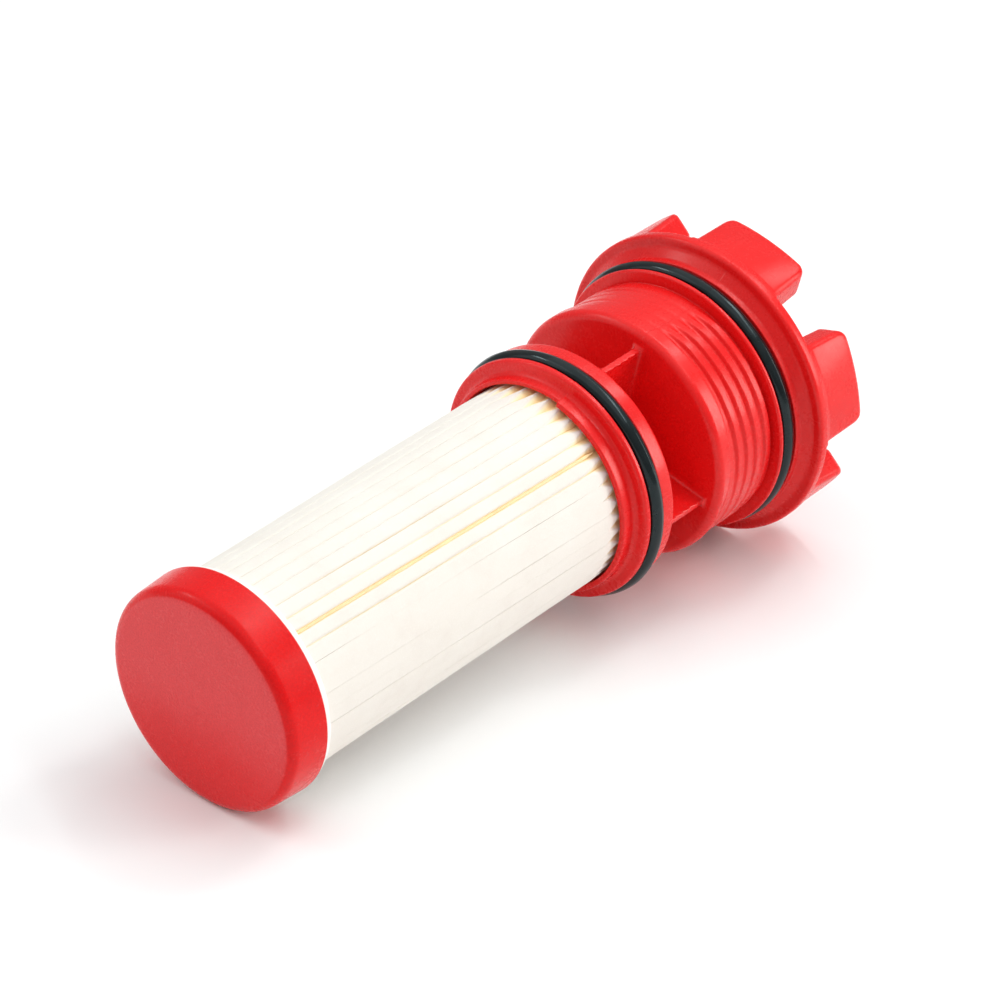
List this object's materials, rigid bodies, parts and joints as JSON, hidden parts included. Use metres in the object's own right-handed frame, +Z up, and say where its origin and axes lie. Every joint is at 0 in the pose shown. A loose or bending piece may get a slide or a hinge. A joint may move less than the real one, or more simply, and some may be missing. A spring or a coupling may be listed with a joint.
{
  "type": "fuel filter",
  "caption": "Cartridge fuel filter: pleated paper element between a closed end cap and a moulded header with outlet collar, threaded plug, flange, grip crown and O-rings.",
  "frame": {"origin": "centre of the end cap's flat outer face, on the filter's axis", "axes": "+X along the filter's axis from the end cap towards the grip crown, +Z up with the filter lying on its side, +Y horizontal to complete a right-handed frame"},
  "size_m": [0.1348, 0.056, 0.056],
  "materials": {
    "red_nylon": "semi-gloss moulded",
    "cream_paper": "matte fibrous",
    "amber_hot_melt": "waxy",
    "natural_nylon": "satin",
    "white_adhesive": "smooth cured",
    "black_rubber": "lightly oiled"
  },
  "bodies": {
    "root": {"end_cap": "red_nylon", "header": "red_nylon", "pleated_media": "cream_paper", "media_side_seam": "amber_hot_melt", "core_tube": "natural_nylon", "end_cap_adhesive": "white_adhesive", "header_adhesive": "white_adhesive", "collar_o_ring": "black_rubber", "flange_o_ring": "black_rubber"}
  },
  "joints": []
}
